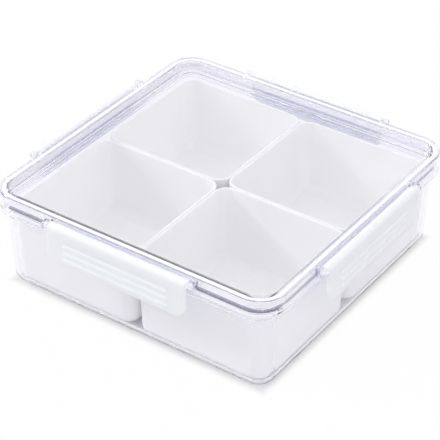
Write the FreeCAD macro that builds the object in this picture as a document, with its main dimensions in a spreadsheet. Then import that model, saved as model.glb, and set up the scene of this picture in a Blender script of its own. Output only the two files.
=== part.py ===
import FreeCAD, Part
import math
import os

import Sketcher

# Square snack container: a clear box with a clear lift-off lid, four hinged snap latches and four loose cups.
# Frame: origin at the bottom centre of the box, +Z up, front is -Y, right is +X. Millimetres.

DIMENSIONS = [
    ("lid_width", 210.0, "outside width of the square lid"),
    ("lid_corner_radius", 18.0, "outside corner radius of lid and flange"),
    ("lid_skirt_height", 9.8, "lid height from skirt bottom to top"),
    ("lid_rim_width", 6.1, "width of the raised rim band on top"),
    ("lid_recess_depth", 7.0, "how far the panel lies below the rim band"),
    ("lid_panel", 2.0, "panel thickness"),
    ("lid_wall", 1.8, "skirt and rim wall thickness"),
    ("lid_outer_round", 1.2, "rounding of the top outer edge"),
    ("lid_inner_round", 1.0, "rounding of the rim's inner edge"),
    ("plug_depth", 3.5, "rib under the panel that centres the lid"),
    ("plug_wall", 1.6, "thickness of that rib"),
    ("plug_clearance", 0.4, "gap between that rib and the box wall"),
    ("seam_gap", 0.4, "gap between lid skirt and box flange"),
    ("box_rim_height", 60.8, "height of the flange's top face"),
    ("flange_overhang", 5.0, "flange reach beyond the box wall"),
    ("flange_depth", 4.2, "height of the flange's edge"),
    ("flange_plate", 2.2, "thickness of the flange's plate"),
    ("flange_lip", 1.8, "thickness of the flange's turned-down edge"),
    ("box_wall", 2.0, "box wall thickness"),
    ("box_floor", 2.2, "box floor thickness"),
    ("box_draft", 1.6, "how much each wall leans in towards the bottom"),
    ("box_corner_radius", 11.5, "outside corner radius of the walls"),
    ("box_edge_radius", 8.0, "rounding of the bottom edge"),
    ("gasket_height", 3.8, "height of the seal ring"),
    ("lip_clearance", 0.4, "side gap between sealing lip and lid groove"),
    ("latch_length", 103.5, "length of a latch along its side"),
    ("latch_drop", 22.8, "pivot to the latch's lower edge"),
    ("latch_plate", 2.6, "latch plate thickness"),
    ("latch_lean", 1.1, "how far the lower edge stands out"),
    ("latch_blend", 1.5, "blend between the hinge barrel and the plate's inner face"),
    ("latch_corner_radius", 8.0, "rounding of the latch's lower corners"),
    ("latch_edge_round", 1.0, "rounding of the latch's outer edges"),
    ("barrel_radius", 3.2, "radius of the latch's hinge barrel"),
    ("pivot_out", 4.0, "pivot axis beyond the skirt"),
    ("pivot_below_top", 3.7, "pivot axis below the lid's top"),
    ("pin_radius", 1.5, "radius of the moulded pins"),
    ("pin_length", 3.0, "how far a pin stands out of the barrel"),
    ("pin_clearance", 0.05, "radial gap of a pin in its ear"),
    ("ear_radius", 2.9, "radius of an ear about the pivot"),
    ("ear_width", 3.7, "thickness of an ear"),
    ("ear_gap", 0.45, "gap between a latch's end and an ear"),
    ("hook_length", 80.0, "length of the hook along the latch"),
    ("hook_reach", 0.9, "how far the hook reaches under the flange"),
    ("hook_clearance", 0.45, "gap between hook and flange corner"),
    ("hook_slope", 35.0, "slope of the hook's upper face in degrees"),
    ("hook_tip", 1.3, "thickness of the hook's tip"),
    ("hook_root", 7.0, "how far the hook's root runs down the plate"),
    ("grip_count", 3.0, "number of grip ribs on a latch"),
    ("grip_pitch", 5.0, "spacing of the grip ribs"),
    ("grip_margin", 4.4, "lowest grip rib above the latch's lower edge"),
    ("grip_length", 77.0, "length of a grip rib"),
    ("grip_radius", 1.9, "section radius of a grip rib"),
    ("grip_height", 0.95, "how far a grip rib stands out"),
    ("cup_headroom", 3.6, "cup rim below the flange's top face"),
    ("cup_side_gap", 2.5, "cup rim to box wall"),
    ("cup_gap", 0.4, "gap between neighbouring cup rims"),
    ("cup_draft", 1.8, "how much each cup wall leans in"),
    ("cup_wall", 1.6, "cup wall thickness"),
    ("cup_floor", 1.8, "cup floor thickness"),
    ("cup_corner_radius", 9.5, "outside corner radius of a cup's rim"),
    ("cup_edge_radius", 4.5, "rounding of a cup's bottom edge"),
    ("cup_floor_radius", 5.5, "rounding between a cup's floor and walls, inside"),
    ("cup_rim_round", 0.6, "rounding of a cup's rim"),
]

# Heights and half widths that several pieces share, written with the names above.
LID_HALF = "Sizes.lid_width / 2"
SKIRT_BOTTOM = "(Sizes.box_rim_height + Sizes.seam_gap)"
LID_TOP = f"({SKIRT_BOTTOM} + Sizes.lid_skirt_height)"
PANEL_TOP = f"({LID_TOP} - Sizes.lid_recess_depth)"
PANEL_BOTTOM = f"({PANEL_TOP} - Sizes.lid_panel)"
RIM_INNER = f"({LID_HALF} - Sizes.lid_rim_width)"
GROOVE_OUTER = f"({LID_HALF} - Sizes.lid_wall)"
GROOVE_INNER = f"({RIM_INNER} + Sizes.lid_wall)"
GROOVE_TOP = f"({LID_TOP} - Sizes.lid_wall)"
GASKET_BOTTOM = f"({GROOVE_TOP} - Sizes.gasket_height)"
FLANGE_BOTTOM = "(Sizes.box_rim_height - Sizes.flange_depth)"
BOX_HALF = f"({LID_HALF} - Sizes.flange_overhang)"
BOX_INNER = f"({BOX_HALF} - Sizes.box_wall)"
PIVOT_HEIGHT = f"({LID_TOP} - Sizes.pivot_below_top)"
PIVOT_OUT = f"({LID_HALF} + Sizes.pivot_out)"
EAR_INNER = "(Sizes.latch_length / 2 + Sizes.ear_gap)"
CUP_HALF = f"(({BOX_INNER} - Sizes.cup_side_gap - Sizes.cup_gap / 2) / 2)"
CUP_CENTRE = f"({CUP_HALF} + Sizes.cup_gap / 2)"
CUP_HEIGHT = "(Sizes.box_rim_height - Sizes.cup_headroom - Sizes.box_floor)"

# Each side's name, outward direction in x and y, and turn about Z.
SIDES = [("right", 1, 0, 0), ("back", 0, 1, 90), ("left", -1, 0, 180), ("front", 0, -1, 270)]
# Each cup's name and the quarter of the box that it fills.
QUARTERS = [("front_left", -1, -1), ("front_right", 1, -1), ("back_left", -1, 1), ("back_right", 1, 1)]

ORIGIN_POINT = (-1, 1)
TOLERANCE = 0.01

doc = FreeCAD.newDocument("snack_container")
sizes = doc.addObject("Spreadsheet::Sheet", "Sizes")


def fill_sheet():
    """Writes the driving dimensions as plain numbers with word aliases."""
    for row, (alias, number, note) in enumerate(DIMENSIONS, start=1):
        sizes.set(f"A{row}", alias)
        sizes.set(f"B{row}", str(number))
        sizes.set(f"C{row}", note)
        sizes.setAlias(f"B{row}", alias)
    doc.recompute()


def value(expression):
    """The number that an expression gives with the present sheet."""
    return float(sizes.evalExpression(str(expression)))


def grow(expression, amount):
    return f"({expression} + {amount})"


def origin_part(body, role):
    return [part for part in body.Origin.OriginFeatures if part.Role == role][0]


def new_body(label):
    body = doc.addObject("PartDesign::Body", label)
    body.Label = label
    return body


def new_sketch(body, name, role="XY_Plane", offset="0"):
    """A sketch on one of the body's own planes, moved along the plane's normal."""
    sketch = body.newObject("Sketcher::SketchObject", f"{body.Name}_{name}")
    sketch.AttachmentSupport = (origin_part(body, role), [""])
    sketch.MapMode = "FlatFace"
    sketch.AttachmentOffset = FreeCAD.Placement(FreeCAD.Vector(0, 0, value(offset)), FreeCAD.Rotation())
    sketch.setExpression("AttachmentOffset.Base.z", offset)
    return sketch


def drive(sketch, name, kind, geometry, expression):
    """Adds a named size to a sketch and binds it to the sheet."""
    index = sketch.addConstraint(Sketcher.Constraint(kind, *geometry, value(expression)))
    sketch.renameConstraint(index, name)
    sketch.setExpression(f"Constraints.{name}", expression)


def place_point(sketch, name, point, across, up):
    """Ties a point's two coordinates to the sheet, measured from the sketch's origin."""
    for axis, expression in (("X", across), ("Y", up)):
        if value(expression) < 0:
            drive(sketch, f"{name}_{axis.lower()}", f"Distance{axis}", (*point, *ORIGIN_POINT), f"-({expression})")
        else:
            drive(sketch, f"{name}_{axis.lower()}", f"Distance{axis}", (*ORIGIN_POINT, *point), expression)


def add_rounded_square(sketch, name, half, radius):
    """A square about the sketch's origin with four equal round corners."""
    size = value(half)
    corner = value(radius)
    flat = size - corner
    first = sketch.GeometryCount
    axis = FreeCAD.Vector(0, 0, 1)
    for side in range(4):
        turn = FreeCAD.Rotation(axis, 90 * side)
        start = turn.multVec(FreeCAD.Vector(size, -flat, 0))
        end = turn.multVec(FreeCAD.Vector(size, flat, 0))
        centre = turn.multVec(FreeCAD.Vector(flat, flat, 0))
        sketch.addGeometry(Part.LineSegment(start, end))
        circle = Part.Circle(centre, axis, corner)
        sketch.addGeometry(Part.ArcOfCircle(circle, math.radians(90 * side), math.radians(90 * side + 90)))
    for side in range(4):
        line = first + 2 * side
        arc = line + 1
        next_line = first + (2 * side + 2) % 8
        sketch.addConstraint(Sketcher.Constraint("Tangent", line, 2, arc, 1))
        sketch.addConstraint(Sketcher.Constraint("Tangent", arc, 2, next_line, 1))
        sketch.addConstraint(Sketcher.Constraint("Horizontal" if side % 2 else "Vertical", line))
        if side:
            sketch.addConstraint(Sketcher.Constraint("Equal", first + 1, arc))
    drive(sketch, f"{name}_radius", "Radius", (first + 1,), radius)
    drive(sketch, f"{name}_right", "DistanceX", (*ORIGIN_POINT, first, 1), half)
    drive(sketch, f"{name}_back", "DistanceY", (*ORIGIN_POINT, first + 2, 1), half)
    drive(sketch, f"{name}_left", "DistanceX", (first + 4, 1, *ORIGIN_POINT), half)
    drive(sketch, f"{name}_front", "DistanceY", (first + 6, 1, *ORIGIN_POINT), half)


def add_polygon(sketch, name, corners):
    """A closed outline through corners given as pairs of expressions."""
    points = [FreeCAD.Vector(value(across), value(up), 0) for across, up in corners]
    first = sketch.GeometryCount
    count = len(points)
    for index in range(count):
        sketch.addGeometry(Part.LineSegment(points[index], points[(index + 1) % count]))
    for index in range(count):
        following = first + (index + 1) % count
        sketch.addConstraint(Sketcher.Constraint("Coincident", first + index, 2, following, 1))
    for index, (across, up) in enumerate(corners):
        place_point(sketch, f"{name}_{index}", (first + index, 1), across, up)


def add_circle(sketch, name, across, up, radius):
    centre = FreeCAD.Vector(value(across), value(up), 0)
    index = sketch.addGeometry(Part.Circle(centre, FreeCAD.Vector(0, 0, 1), value(radius)))
    drive(sketch, f"{name}_radius", "Radius", (index,), radius)
    place_point(sketch, name, (index, 3), across, up)


def extrude(body, kind, name, sketch, length, symmetric=False, down=False):
    """A Pad or Pocket of a sketch, one way or to both sides."""
    feature = body.newObject(f"PartDesign::{kind}", f"{body.Name}_{name}")
    feature.Profile = sketch
    feature.Length = value(length)
    feature.setExpression("Length", length)
    feature.SideType = "Symmetric" if symmetric else "One side"
    feature.Reversed = down
    doc.recompute()
    return feature


def pad_square(body, name, half, radius, bottom, top):
    """A block with a rounded square outline between two heights."""
    sketch = new_sketch(body, f"{name}_outline", offset=bottom)
    add_rounded_square(sketch, name, half, radius)
    return extrude(body, "Pad", name, sketch, f"{top} - {bottom}")


def cut_square(body, name, half, radius, bottom, top):
    """A hollow with a rounded square outline between two heights."""
    sketch = new_sketch(body, f"{name}_outline", offset=bottom)
    add_rounded_square(sketch, name, half, radius)
    return extrude(body, "Pocket", name, sketch, f"{top} - {bottom}", down=True)


def square_ring(body, kind, name, outer, outer_radius, inner, inner_radius, bottom, top):
    """A ring between two rounded squares, added or cut between two heights."""
    sketch = new_sketch(body, f"{name}_outline", offset=bottom)
    add_rounded_square(sketch, f"{name}_outer", outer, outer_radius)
    add_rounded_square(sketch, f"{name}_inner", inner, inner_radius)
    return extrude(body, kind, name, sketch, f"{top} - {bottom}", down=(kind == "Pocket"))


def loft_square(body, kind, name, sections):
    """A drafted block or hollow through rounded squares given as half width, radius and height."""
    sketches = []
    for index, (half, radius, height) in enumerate(sections):
        sketch = new_sketch(body, f"{name}_section_{index}", offset=height)
        add_rounded_square(sketch, f"{name}_{index}", half, radius)
        sketches.append(sketch)
    doc.recompute()
    feature = body.newObject(f"PartDesign::{kind}", f"{body.Name}_{name}")
    feature.Profile = sketches[0]
    feature.Sections = sketches[1:]
    feature.Ruled = True
    doc.recompute()
    return feature


def distance_to_square(point, half, radius):
    """How far a point lies from a rounded square outline in plan."""
    across = abs(point.x) - (half - radius)
    along = abs(point.y) - (half - radius)
    outside = math.hypot(max(across, 0), max(along, 0))
    inside = min(max(across, along), 0)
    return outside + inside - radius


def edge_middle(edge):
    return edge.valueAt((edge.FirstParameter + edge.LastParameter) / 2)


def square_edges(half, radius, height):
    """A test for the edges that lie on a rounded square outline at one height."""
    size = value(half)
    corner = value(radius)
    level = value(height)

    def chosen(edge):
        middle = edge_middle(edge)
        return (abs(middle.z - level) < TOLERANCE
                and abs(edge.BoundBox.ZLength) < TOLERANCE
                and abs(distance_to_square(middle, size, corner)) < TOLERANCE)
    return chosen


def round_edges(body, name, radius, *tests):
    """Rounds the edges of the body so far that pass any of the tests."""
    base = body.Tip
    names = [f"Edge{number}" for number, edge in enumerate(base.Shape.Edges, start=1)
             if any(test(edge) for test in tests)]
    if not names:
        raise ValueError(f"{body.Label}: no edge to round for {name}")
    feature = body.newObject("PartDesign::Fillet", f"{body.Name}_{name}")
    feature.Base = (base, names)
    feature.Radius = value(radius)
    feature.setExpression("Radius", radius)
    doc.recompute()
    return feature


def make_outer_box():
    """Drafted box with a rounded bottom edge, a turned-down flange and a raised sealing lip."""
    body = new_body("outer_box")
    bottom_half = f"({BOX_HALF} - Sizes.box_draft)"
    inner_bottom = f"({BOX_INNER} - Sizes.box_draft)"
    inner_radius = "(Sizes.box_corner_radius - Sizes.box_wall)"
    loft_square(body, "AdditiveLoft", "walls", [
        (bottom_half, "Sizes.box_corner_radius", "0"),
        (BOX_HALF, "Sizes.box_corner_radius", FLANGE_BOTTOM),
    ])
    pad_square(body, "flange", LID_HALF, "Sizes.lid_corner_radius", FLANGE_BOTTOM, "Sizes.box_rim_height")
    square_ring(body, "Pocket", "flange_hollow",
                f"({LID_HALF} - Sizes.flange_lip)", "(Sizes.lid_corner_radius - Sizes.flange_lip)",
                BOX_HALF, "Sizes.box_corner_radius",
                FLANGE_BOTTOM, "(Sizes.box_rim_height - Sizes.flange_plate)")
    square_ring(body, "Pad", "sealing_lip",
                f"({GROOVE_OUTER} - Sizes.lip_clearance)",
                "(Sizes.lid_corner_radius - Sizes.lid_wall - Sizes.lip_clearance)",
                f"({GROOVE_INNER} + Sizes.lip_clearance)",
                "(Sizes.lid_corner_radius - Sizes.lid_rim_width + Sizes.lid_wall + Sizes.lip_clearance)",
                "Sizes.box_rim_height", GASKET_BOTTOM)
    loft_square(body, "SubtractiveLoft", "hollow", [
        (inner_bottom, inner_radius, "Sizes.box_floor"),
        (BOX_INNER, inner_radius, "Sizes.box_rim_height"),
    ])
    round_edges(body, "floor_edge", "Sizes.box_edge_radius - Sizes.box_wall",
                square_edges(inner_bottom, inner_radius, "Sizes.box_floor"))
    round_edges(body, "bottom_edge", "Sizes.box_edge_radius",
                square_edges(bottom_half, "Sizes.box_corner_radius", "0"))
    return body


def make_lid():
    """Lid with a raised hollow rim band, a recessed panel, a centring rib and eight hinge ears."""
    body = new_body("lid")
    rim_inner_radius = "(Sizes.lid_corner_radius - Sizes.lid_rim_width)"
    groove_outer_radius = "(Sizes.lid_corner_radius - Sizes.lid_wall)"
    groove_inner_radius = f"({rim_inner_radius} + Sizes.lid_wall)"
    pad_square(body, "block", LID_HALF, "Sizes.lid_corner_radius", SKIRT_BOTTOM, LID_TOP)
    round_edges(body, "outer_edge", "Sizes.lid_outer_round",
                square_edges(LID_HALF, "Sizes.lid_corner_radius", LID_TOP))
    cut_square(body, "recess", RIM_INNER, rim_inner_radius, PANEL_TOP, grow(LID_TOP, 1))
    round_edges(body, "inner_edge", "Sizes.lid_inner_round",
                square_edges(RIM_INNER, rim_inner_radius, LID_TOP),
                square_edges(RIM_INNER, rim_inner_radius, PANEL_TOP))
    square_ring(body, "Pocket", "groove", GROOVE_OUTER, groove_outer_radius,
                GROOVE_INNER, groove_inner_radius, SKIRT_BOTTOM, GROOVE_TOP)
    cut_square(body, "underside", GROOVE_INNER, groove_inner_radius, SKIRT_BOTTOM, PANEL_BOTTOM)
    plug_outer = f"({BOX_INNER} - Sizes.plug_clearance)"
    plug_radius = "(Sizes.box_corner_radius - Sizes.box_wall - Sizes.plug_clearance)"
    square_ring(body, "Pad", "plug", plug_outer, plug_radius,
                f"({plug_outer} - Sizes.plug_wall)", f"({plug_radius} - Sizes.plug_wall)",
                f"({PANEL_BOTTOM} - Sizes.plug_depth)", PANEL_BOTTOM)
    add_ears(body)
    return body


def add_ears(body):
    """A pair of ears with blind pin holes on each side, made on the right and repeated about Z."""
    bar_outline = new_sketch(body, "ear_outline", "XZ_Plane")
    add_ear_profile(bar_outline)
    bar = extrude(body, "Pad", "ear_bar", bar_outline, f"2 * ({EAR_INNER} + Sizes.ear_width)", symmetric=True)
    gap_outline = new_sketch(body, "ear_gap_outline", "XZ_Plane")
    reach = f"({PIVOT_OUT} + Sizes.barrel_radius + Sizes.ear_radius)"
    add_polygon(gap_outline, "gap", [
        (LID_HALF, SKIRT_BOTTOM),
        (reach, SKIRT_BOTTOM),
        (reach, grow(LID_TOP, 1)),
        (LID_HALF, grow(LID_TOP, 1)),
    ])
    gap = extrude(body, "Pocket", "ear_gap", gap_outline, f"2 * {EAR_INNER}", symmetric=True)
    hole_outline = new_sketch(body, "pin_hole_outline", "XZ_Plane")
    add_circle(hole_outline, "hole", PIVOT_OUT, PIVOT_HEIGHT, "Sizes.pin_radius + Sizes.pin_clearance")
    holes = extrude(body, "Pocket", "pin_holes", hole_outline,
                    "Sizes.latch_length + 2 * Sizes.pin_length + 4 * Sizes.pin_clearance", symmetric=True)
    ring = body.newObject("PartDesign::PolarPattern", "lid_ears")
    ring.Originals = [bar, gap, holes]
    ring.Axis = (origin_part(body, "Z_Axis"), [""])
    ring.Angle = 360
    ring.Occurrences = 4
    body.Tip = ring
    doc.recompute()


def add_ear_profile(sketch):
    """Tab that grows out of the skirt and ends in a half circle about the pivot."""
    root = value(LID_HALF) - value("Sizes.lid_wall") / 2
    pivot = FreeCAD.Vector(value(PIVOT_OUT), value(PIVOT_HEIGHT), 0)
    radius = value("Sizes.ear_radius")
    up = FreeCAD.Vector(0, radius, 0)
    top_root = FreeCAD.Vector(root, pivot.y + radius, 0)
    bottom_root = FreeCAD.Vector(root, pivot.y - radius, 0)
    sketch.addGeometry(Part.LineSegment(top_root, bottom_root))
    sketch.addGeometry(Part.LineSegment(bottom_root, pivot - up))
    circle = Part.Circle(pivot, FreeCAD.Vector(0, 0, 1), radius)
    sketch.addGeometry(Part.ArcOfCircle(circle, math.radians(-90), math.radians(90)))
    sketch.addGeometry(Part.LineSegment(pivot + up, top_root))
    sketch.addConstraint(Sketcher.Constraint("Coincident", 0, 2, 1, 1))
    sketch.addConstraint(Sketcher.Constraint("Tangent", 1, 2, 2, 1))
    sketch.addConstraint(Sketcher.Constraint("Tangent", 2, 2, 3, 1))
    sketch.addConstraint(Sketcher.Constraint("Coincident", 3, 2, 0, 1))
    sketch.addConstraint(Sketcher.Constraint("Vertical", 0))
    sketch.addConstraint(Sketcher.Constraint("Horizontal", 1))
    drive(sketch, "ear_radius", "Radius", (2,), "Sizes.ear_radius")
    drive(sketch, "ear_root", "DistanceX", (*ORIGIN_POINT, 0, 1), f"{LID_HALF} - Sizes.lid_wall / 2")
    place_point(sketch, "ear_pivot", (2, 3), PIVOT_OUT, PIVOT_HEIGHT)


def make_gasket():
    """Seal ring that fills the top of the lid's groove and rests on the box's sealing lip."""
    body = new_body("lid_gasket")
    square_ring(body, "Pad", "ring", GROOVE_OUTER, "(Sizes.lid_corner_radius - Sizes.lid_wall)",
                GROOVE_INNER, "(Sizes.lid_corner_radius - Sizes.lid_rim_width + Sizes.lid_wall)",
                GASKET_BOTTOM, GROOVE_TOP)
    return body


def make_latch(name, across, along, angle):
    """Snap latch in its own frame: origin on the pivot, +X outwards, +Z up, then set against its side."""
    body = new_body(f"latch_{name}")
    add_latch_plate(body)
    add_latch_hook(body)
    add_grip_ribs(body)
    pin_outline = new_sketch(body, "pin_outline", "XZ_Plane")
    pin_circle = pin_outline.addGeometry(
        Part.Circle(FreeCAD.Vector(0, 0, 0), FreeCAD.Vector(0, 0, 1), value("Sizes.pin_radius")))
    pin_outline.addConstraint(Sketcher.Constraint("Coincident", pin_circle, 3, *ORIGIN_POINT))
    drive(pin_outline, "pin_radius", "Radius", (pin_circle,), "Sizes.pin_radius")
    extrude(body, "Pad", "pins", pin_outline, "Sizes.latch_length + 2 * Sizes.pin_length", symmetric=True)
    body.Placement = FreeCAD.Placement(
        FreeCAD.Vector(across * value(PIVOT_OUT), along * value(PIVOT_OUT), value(PIVOT_HEIGHT)),
        FreeCAD.Rotation(FreeCAD.Vector(0, 0, 1), angle))
    body.setExpression("Placement.Base.x", f"{across} * {PIVOT_OUT}")
    body.setExpression("Placement.Base.y", f"{along} * {PIVOT_OUT}")
    body.setExpression("Placement.Base.z", PIVOT_HEIGHT)
    return body


def add_latch_plate(body):
    """Barrel and leaning plate in one section: barrel, blend, inner face, lower edge and outer face."""
    sketch = new_sketch(body, "plate_outline", "XZ_Plane")
    barrel = value("Sizes.barrel_radius")
    blend = value("Sizes.latch_blend")
    plate = value("Sizes.latch_plate")
    drop = value("Sizes.latch_drop")
    lean = FreeCAD.Rotation(FreeCAD.Vector(0, 0, 1), math.degrees(math.atan2(value("Sizes.latch_lean"), drop)))
    blend_across = barrel - plate - blend
    blend_down = -math.sqrt((barrel + blend) ** 2 - blend_across ** 2)
    meeting = math.atan2(blend_down, blend_across)
    centre = lean.multVec(FreeCAD.Vector(blend_across, blend_down, 0))
    outer_top = lean.multVec(FreeCAD.Vector(barrel, 0, 0))
    outer_foot = lean.multVec(FreeCAD.Vector(barrel, -drop, 0))
    inner_foot = lean.multVec(FreeCAD.Vector(barrel - plate, -drop, 0))
    inner_top = lean.multVec(FreeCAD.Vector(barrel - plate, blend_down, 0))
    axis = FreeCAD.Vector(0, 0, 1)
    turn = lean.Angle
    barrel_circle = Part.Circle(FreeCAD.Vector(0, 0, 0), axis, barrel)
    blend_circle = Part.Circle(centre, axis, blend)
    sketch.addGeometry(Part.ArcOfCircle(barrel_circle, turn, meeting + turn + 2 * math.pi))
    sketch.addGeometry(Part.ArcOfCircle(blend_circle, turn, meeting + turn + math.pi))
    sketch.addGeometry(Part.LineSegment(inner_top, inner_foot))
    sketch.addGeometry(Part.LineSegment(inner_foot, outer_foot))
    sketch.addGeometry(Part.LineSegment(outer_foot, outer_top))
    sketch.addConstraint(Sketcher.Constraint("Coincident", 0, 3, *ORIGIN_POINT))
    sketch.addConstraint(Sketcher.Constraint("Tangent", 0, 2, 1, 2))
    sketch.addConstraint(Sketcher.Constraint("Tangent", 1, 1, 2, 1))
    sketch.addConstraint(Sketcher.Constraint("Coincident", 2, 2, 3, 1))
    sketch.addConstraint(Sketcher.Constraint("Coincident", 3, 2, 4, 1))
    sketch.addConstraint(Sketcher.Constraint("Tangent", 4, 2, 0, 1))
    sketch.addConstraint(Sketcher.Constraint("Horizontal", 3))
    sketch.addConstraint(Sketcher.Constraint("Parallel", 2, 4))
    drive(sketch, "barrel_radius", "Radius", (0,), "Sizes.barrel_radius")
    drive(sketch, "blend_radius", "Radius", (1,), "Sizes.latch_blend")
    drive(sketch, "plate_width", "DistanceX", (3, 1, 3, 2), "Sizes.latch_plate")
    place_point(sketch, "foot", (3, 2), "Sizes.barrel_radius + Sizes.latch_lean", "-Sizes.latch_drop")
    extrude(body, "Pad", "plate", sketch, "Sizes.latch_length", symmetric=True)
    end = value("Sizes.latch_length") / 2

    def lower_corner(edge):
        middle = edge_middle(edge)
        return (abs(abs(middle.y) - end) < TOLERANCE
                and abs(middle.z + drop) < TOLERANCE
                and edge.BoundBox.YLength < TOLERANCE)
    round_edges(body, "lower_corners", "Sizes.latch_corner_radius", lower_corner)

    def outer_foot_edge(edge):
        middle = edge_middle(edge)
        return abs(middle.z + drop) < TOLERANCE and abs(middle.y) < TOLERANCE and middle.x > outer_foot.x - plate / 2
    round_edges(body, "border", "Sizes.latch_edge_round", outer_foot_edge)


def add_latch_hook(body):
    """Wedge under the flange whose sloping upper face opens the latch when the lid is pulled."""
    sketch = new_sketch(body, "hook_outline", "XZ_Plane")
    corner_height = f"({FLANGE_BOTTOM} - {PIVOT_HEIGHT})"
    line_height = f"({corner_height} - Sizes.hook_clearance / cos(Sizes.hook_slope * 1deg))"
    rise = "tan(Sizes.hook_slope * 1deg)"
    root = "(Sizes.barrel_radius - Sizes.latch_plate / 2)"
    tip = "(-Sizes.pivot_out - Sizes.hook_reach)"
    tip_top = f"({line_height} - Sizes.hook_reach * {rise})"
    root_top = f"({line_height} + (Sizes.pivot_out + {root}) * {rise})"
    add_polygon(sketch, "hook", [
        (tip, tip_top),
        (tip, f"({tip_top} - Sizes.hook_tip)"),
        (root, f"({tip_top} - Sizes.hook_root)"),
        (root, root_top),
    ])
    extrude(body, "Pad", "hook", sketch, "Sizes.hook_length", symmetric=True)


def add_grip_ribs(body):
    """Half-round ribs across the outer face, spaced upwards from the lower edge."""
    for number in range(round(value("Sizes.grip_count"))):
        sketch = new_sketch(body, f"grip_outline_{number}", "XZ_Plane")
        height = f"(Sizes.grip_margin + {number} * Sizes.grip_pitch - Sizes.latch_drop)"
        face = f"(Sizes.barrel_radius - Sizes.latch_lean * {height} / Sizes.latch_drop)"
        add_circle(sketch, "grip", f"{face} + Sizes.grip_height - Sizes.grip_radius", height, "Sizes.grip_radius")
        extrude(body, "Pad", f"grip_{number}", sketch, "Sizes.grip_length", symmetric=True)


def make_cup(name, across, along):
    """Drafted cup in its own frame: origin at its bottom centre, then set in its quarter of the box."""
    body = new_body(f"cup_{name}")
    bottom_half = f"({CUP_HALF} - Sizes.cup_draft)"
    bottom_radius = "(Sizes.cup_corner_radius - Sizes.cup_draft / 2)"
    inner_bottom = f"({bottom_half} - Sizes.cup_wall)"
    inner_bottom_radius = f"({bottom_radius} - Sizes.cup_wall)"
    inner_top = f"({CUP_HALF} - Sizes.cup_wall)"
    inner_top_radius = "(Sizes.cup_corner_radius - Sizes.cup_wall)"
    loft_square(body, "AdditiveLoft", "walls", [
        (bottom_half, bottom_radius, "0"),
        (CUP_HALF, "Sizes.cup_corner_radius", CUP_HEIGHT),
    ])
    loft_square(body, "SubtractiveLoft", "hollow", [
        (inner_bottom, inner_bottom_radius, "Sizes.cup_floor"),
        (inner_top, inner_top_radius, CUP_HEIGHT),
    ])
    round_edges(body, "floor_edge", "Sizes.cup_floor_radius",
                square_edges(inner_bottom, inner_bottom_radius, "Sizes.cup_floor"))
    round_edges(body, "bottom_edge", "Sizes.cup_edge_radius", square_edges(bottom_half, bottom_radius, "0"))
    round_edges(body, "rim", "Sizes.cup_rim_round",
                square_edges(CUP_HALF, "Sizes.cup_corner_radius", CUP_HEIGHT),
                square_edges(inner_top, inner_top_radius, CUP_HEIGHT))
    body.Placement = FreeCAD.Placement(
        FreeCAD.Vector(across * value(CUP_CENTRE), along * value(CUP_CENTRE), value("Sizes.box_floor")),
        FreeCAD.Rotation())
    body.setExpression("Placement.Base.x", f"{across} * {CUP_CENTRE}")
    body.setExpression("Placement.Base.y", f"{along} * {CUP_CENTRE}")
    body.setExpression("Placement.Base.z", "Sizes.box_floor")
    return body


def check(bodies):
    """Stops before anything is written if a feature failed or a shape is bad."""
    for item in doc.Objects:
        if {"Invalid", "Error"} & set(item.State):
            raise RuntimeError(f"{item.Label} failed: {item.State}")
    for body in bodies:
        shape = body.Shape
        if shape.isNull() or not shape.isValid() or len(shape.Solids) != 1:
            raise RuntimeError(f"{body.Label} has no single valid solid")


def write(bodies):
    os.makedirs("parts", exist_ok=True)
    for body in bodies:
        body.Shape.exportStep(f"parts/{body.Label}.step")
        box = body.Shape.BoundBox
        print(f"{body.Label}: volume {body.Shape.Volume:.0f}, x {box.XMin:.2f} to {box.XMax:.2f}, "
              f"y {box.YMin:.2f} to {box.YMax:.2f}, z {box.ZMin:.2f} to {box.ZMax:.2f}")


fill_sheet()
pieces = [make_outer_box(), make_lid(), make_gasket()]
for side_name, outward_x, outward_y, side_angle in SIDES:
    pieces.append(make_latch(side_name, outward_x, outward_y, side_angle))
for quarter_name, quarter_x, quarter_y in QUARTERS:
    pieces.append(make_cup(quarter_name, quarter_x, quarter_y))
doc.recompute()
check(pieces)
write(pieces)
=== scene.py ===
import math

import bpy
from mathutils import Matrix, Vector

# Divided snack container: clear box and lid, four white latches, four white cups.
# Metres, +Z up, front is -Y, right is +X.

# Camera, as fitted to the photograph's outlines
VIEW_AZIMUTH = math.radians(34.99)
VIEW_ELEVATION = math.radians(35.13)
VIEW_ROLL = math.radians(0.161)
VIEW_DISTANCE = 1.1575
VIEW_LENS = 144.7
VIEW_AIM_RIGHT = -0.0018
VIEW_AIM_UP = 0.0244

CAMERA_SENSOR = 36
CAMERA_NEAR = 0.05
CAMERA_FAR = 50

# Clear plastic: surface colour, what lamps pass through, and the tint that deepens with thickness
PLASTIC_IOR = 1.49
CLEAR = (0.97, 0.967, 1.0, 1.0)
CLEAR_SHADOW = (0.97, 0.97, 0.98, 1.0)
CLEAR_TINT = (0.4, 0.38, 0.55, 1.0)
CLEAR_DENSITY = 4.5
CLEAR_ROUGHNESS = 0.0

# White plastics: how much light their walls let through and how deep it goes, and their surface grain
LATCH_LOOK = {"colour": (0.845, 0.87, 0.91, 1.0), "roughness": 0.35, "glow": 1.0, "depth": 0.01,
              "grain_size": 0.0008, "grain_depth": 0.00002}
CUP_LOOK = {"colour": (0.9, 0.898, 0.888, 1.0), "roughness": 0.5, "glow": 0.3, "depth": 0.003,
            "grain_size": 0.0006, "grain_depth": 0.00003}
SEAL_LOOK = {"colour": (0.95, 0.95, 0.96, 1.0), "roughness": 0.5, "glow": 0.0, "depth": 0.003,
             "grain_size": 0.0008, "grain_depth": 0.00001}
GRAIN_DETAIL = 3.0
GRAIN_STRENGTH = 0.3
SEAL_PLAY = 0.0001

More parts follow.
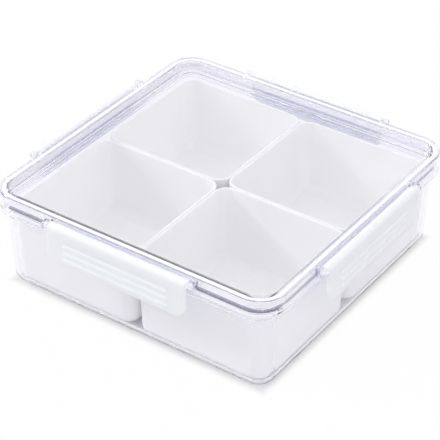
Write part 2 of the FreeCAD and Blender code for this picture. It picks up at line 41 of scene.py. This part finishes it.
# Floor: its share of plain white to the eye starts just under the box's edge and is full beside it
FLOOR_SIZE = 8
FLOOR_WHITE = (0.8, 0.8, 0.8, 1.0)
FLOOR_ROUGHNESS = 0.9
FLOOR_PLAIN = 0.97
UNDER_BOX = 0.094
BESIDE_BOX = 0.101
FLOOR_DROP = 0.0002

# Light
AMBIENT_LOW = 0.72
AMBIENT_HIGH = 1.14
KEY_STRENGTH = 0.62
KEY_ANGLE = math.radians(10)
KEY_FROM = (-0.75, -0.35, 0.48)

# Light that runs along inside the clear walls turns back many times before it leaves
CLEAR_BOUNCES = 200
SHADOW_LAYERS = 48
DIFFUSE_BOUNCES = 16


def new_material(name):
    """A material with one plastic shader, as the material, its node tree and that shader."""
    material = bpy.data.materials.new(name)
    material.use_nodes = True
    nodes = material.node_tree.nodes
    nodes.clear()
    output = nodes.new("ShaderNodeOutputMaterial")
    shader = nodes.new("ShaderNodeBsdfPrincipled")
    material.node_tree.links.new(shader.outputs["BSDF"], output.inputs["Surface"])
    return material, material.node_tree, shader


def clear_plastic(name):
    """Clear plastic with a faint lavender tint that darkens along its thickness; lamps shine through it."""
    material, tree, shader = new_material(name)
    shader.inputs["Base Color"].default_value = CLEAR
    shader.inputs["Roughness"].default_value = CLEAR_ROUGHNESS
    shader.inputs["IOR"].default_value = PLASTIC_IOR
    shader.inputs["Transmission Weight"].default_value = 1.0
    output = tree.nodes["Material Output"]
    path = tree.nodes.new("ShaderNodeLightPath")
    see_through = tree.nodes.new("ShaderNodeBsdfTransparent")
    see_through.inputs["Color"].default_value = CLEAR_SHADOW
    mix = tree.nodes.new("ShaderNodeMixShader")
    tree.links.new(path.outputs["Is Shadow Ray"], mix.inputs["Fac"])
    tree.links.new(shader.outputs["BSDF"], mix.inputs[1])
    tree.links.new(see_through.outputs["BSDF"], mix.inputs[2])
    tree.links.new(mix.outputs["Shader"], output.inputs["Surface"])
    absorb = tree.nodes.new("ShaderNodeVolumeAbsorption")
    absorb.inputs["Color"].default_value = CLEAR_TINT
    absorb.inputs["Density"].default_value = CLEAR_DENSITY
    tree.links.new(absorb.outputs["Volume"], output.inputs["Volume"])
    return material


def moulded_plastic(name, colour, roughness, glow, depth, grain_size, grain_depth):
    """White moulded plastic that lets a little light through its walls, with a very fine surface grain."""
    material, tree, shader = new_material(name)
    shader.inputs["Base Color"].default_value = colour
    shader.inputs["Roughness"].default_value = roughness
    shader.inputs["IOR"].default_value = PLASTIC_IOR
    shader.inputs["Subsurface Weight"].default_value = glow
    shader.inputs["Subsurface Radius"].default_value = (1.0, 1.0, 1.0)
    shader.inputs["Subsurface Scale"].default_value = depth
    place = tree.nodes.new("ShaderNodeTexCoord")
    grain = tree.nodes.new("ShaderNodeTexNoise")
    grain.inputs["Scale"].default_value = 1 / grain_size
    grain.inputs["Detail"].default_value = GRAIN_DETAIL
    bump = tree.nodes.new("ShaderNodeBump")
    bump.inputs["Distance"].default_value = grain_depth
    bump.inputs["Strength"].default_value = GRAIN_STRENGTH
    tree.links.new(place.outputs["Object"], grain.inputs["Vector"])
    tree.links.new(grain.outputs["Fac"], bump.inputs["Height"])
    tree.links.new(bump.outputs["Normal"], shader.inputs["Normal"])
    return material


def paint(node, material):
    node.data.materials.clear()
    node.data.materials.append(material)


def combine(tree, operation, first, second):
    """The result of a two-number calculation."""
    node = tree.nodes.new("ShaderNodeMath")
    node.operation = operation
    tree.links.new(first, node.inputs[0])
    tree.links.new(second, node.inputs[1])
    return node.outputs["Value"]


def with_number(tree, operation, first, number):
    """The result of a calculation with a fixed second number, which some operations ignore."""
    node = tree.nodes.new("ShaderNodeMath")
    node.operation = operation
    tree.links.new(first, node.inputs[0])
    node.inputs[1].default_value = number
    return node.outputs["Value"]


def is_seen(tree):
    """1 for what the camera sees directly, mirrored or through clear plastic, 0 for what lights a surface."""
    path = tree.nodes.new("ShaderNodeLightPath")
    mirrored = combine(tree, "MAXIMUM", path.outputs["Is Glossy Ray"], path.outputs["Is Transmission Ray"])
    ray = combine(tree, "MAXIMUM", path.outputs["Is Camera Ray"], mirrored)
    lights_surface = with_number(tree, "MINIMUM", path.outputs["Diffuse Depth"], 1.0)
    return combine(tree, "SUBTRACT", ray, combine(tree, "MULTIPLY", ray, lights_surface))


def make_floor():
    """White floor just under the box, partly plain white to the eye so that its shadow stays faint."""
    bpy.ops.mesh.primitive_plane_add(size=FLOOR_SIZE, location=(0, 0, -FLOOR_DROP))
    floor = bpy.context.object
    floor.name = "floor"
    material, tree, shader = new_material("floor_white")
    shader.inputs["Base Color"].default_value = FLOOR_WHITE
    shader.inputs["Roughness"].default_value = FLOOR_ROUGHNESS
    plain = tree.nodes.new("ShaderNodeEmission")
    place = tree.nodes.new("ShaderNodeTexCoord")
    apart = tree.nodes.new("ShaderNodeSeparateXYZ")
    tree.links.new(place.outputs["Object"], apart.inputs["Vector"])
    across = with_number(tree, "ABSOLUTE", apart.outputs["X"], 0.0)
    along = with_number(tree, "ABSOLUTE", apart.outputs["Y"], 0.0)
    outward = combine(tree, "MAXIMUM", across, along)
    open_floor = tree.nodes.new("ShaderNodeMapRange")
    open_floor.interpolation_type = "SMOOTHSTEP"
    open_floor.inputs["From Min"].default_value = UNDER_BOX
    open_floor.inputs["From Max"].default_value = BESIDE_BOX
    open_floor.inputs["To Max"].default_value = FLOOR_PLAIN
    tree.links.new(outward, open_floor.inputs["Value"])
    mix = tree.nodes.new("ShaderNodeMixShader")
    share = combine(tree, "MULTIPLY", is_seen(tree), open_floor.outputs["Result"])
    tree.links.new(share, mix.inputs["Fac"])
    tree.links.new(shader.outputs["BSDF"], mix.inputs[1])
    tree.links.new(plain.outputs["Emission"], mix.inputs[2])
    tree.links.new(mix.outputs["Shader"], tree.nodes["Material Output"].inputs["Surface"])
    floor.data.materials.append(material)


def make_world():
    """White surroundings, a little brighter overhead; what is seen or mirrored there is plain white."""
    world = bpy.data.worlds.new("studio")
    bpy.context.scene.world = world
    world.use_nodes = True
    tree = world.node_tree
    background = tree.nodes["Background"]
    background.inputs["Color"].default_value = (1, 1, 1, 1)
    place = tree.nodes.new("ShaderNodeTexCoord")
    apart = tree.nodes.new("ShaderNodeSeparateXYZ")
    tree.links.new(place.outputs["Generated"], apart.inputs["Vector"])
    sky = tree.nodes.new("ShaderNodeMapRange")
    sky.inputs["To Min"].default_value = AMBIENT_LOW
    sky.inputs["To Max"].default_value = AMBIENT_HIGH
    tree.links.new(apart.outputs["Z"], sky.inputs["Value"])
    strength = tree.nodes.new("ShaderNodeMapRange")
    tree.links.new(sky.outputs["Result"], strength.inputs["To Min"])
    strength.inputs["To Max"].default_value = 1.0
    tree.links.new(is_seen(tree), strength.inputs["Value"])
    tree.links.new(strength.outputs["Result"], background.inputs["Strength"])


def make_key_light():
    """A soft sun from the left and slightly from the front, which shades one side of each cup."""
    lamp = bpy.data.lights.new("key", "SUN")
    lamp.energy = KEY_STRENGTH
    lamp.angle = KEY_ANGLE
    key = bpy.data.objects.new("key", lamp)
    bpy.context.scene.collection.objects.link(key)
    key.rotation_euler = Vector(KEY_FROM).to_track_quat("Z", "Y").to_euler()


def make_camera():
    camera = bpy.data.objects.new("camera", bpy.data.cameras.new("camera"))
    bpy.context.scene.collection.objects.link(camera)
    back = Vector((math.sin(VIEW_AZIMUTH) * math.cos(VIEW_ELEVATION),
                   -math.cos(VIEW_AZIMUTH) * math.cos(VIEW_ELEVATION),
                   math.sin(VIEW_ELEVATION)))
    right = Vector((math.cos(VIEW_AZIMUTH), math.sin(VIEW_AZIMUTH), 0))
    up = back.cross(right)
    target = right * VIEW_AIM_RIGHT + up * VIEW_AIM_UP
    turned_right = right * math.cos(VIEW_ROLL) + up * math.sin(VIEW_ROLL)
    turned_up = up * math.cos(VIEW_ROLL) - right * math.sin(VIEW_ROLL)
    axes = Matrix((turned_right, turned_up, back)).transposed()
    camera.matrix_world = Matrix.Translation(target + back * VIEW_DISTANCE) @ axes.to_4x4()
    camera.data.lens = VIEW_LENS
    camera.data.sensor_width = CAMERA_SENSOR
    camera.data.clip_start = CAMERA_NEAR
    camera.data.clip_end = CAMERA_FAR
    bpy.context.scene.camera = camera


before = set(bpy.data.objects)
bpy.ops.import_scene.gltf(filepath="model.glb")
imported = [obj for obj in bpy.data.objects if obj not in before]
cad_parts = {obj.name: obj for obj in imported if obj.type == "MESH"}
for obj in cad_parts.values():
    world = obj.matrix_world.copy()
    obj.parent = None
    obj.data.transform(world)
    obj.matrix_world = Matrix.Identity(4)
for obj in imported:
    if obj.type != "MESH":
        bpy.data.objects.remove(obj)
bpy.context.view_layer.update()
bpy.context.scene.view_settings.view_transform = "Standard"

clear = clear_plastic("clear_plastic")
latch_plastic = moulded_plastic("latch_plastic", **LATCH_LOOK)
cup_plastic = moulded_plastic("cup_plastic", **CUP_LOOK)
seal = moulded_plastic("seal", **SEAL_LOOK)
for name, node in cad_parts.items():
    if name.startswith("latch"):
        paint(node, latch_plastic)
    elif name.startswith("cup"):
        paint(node, cup_plastic)
    elif name == "lid_gasket":
        paint(node, seal)
        shrink = node.modifiers.new("play", "DISPLACE")
        shrink.strength = -SEAL_PLAY
        shrink.mid_level = 0
    else:
        paint(node, clear)

make_floor()
make_world()
make_key_light()
make_camera()
cycles = bpy.context.scene.cycles
cycles.max_bounces = CLEAR_BOUNCES
cycles.transmission_bounces = CLEAR_BOUNCES
cycles.transparent_max_bounces = SHADOW_LAYERS
cycles.glossy_bounces = CLEAR_BOUNCES
cycles.diffuse_bounces = DIFFUSE_BOUNCES
cycles.blur_glossy = 0.0
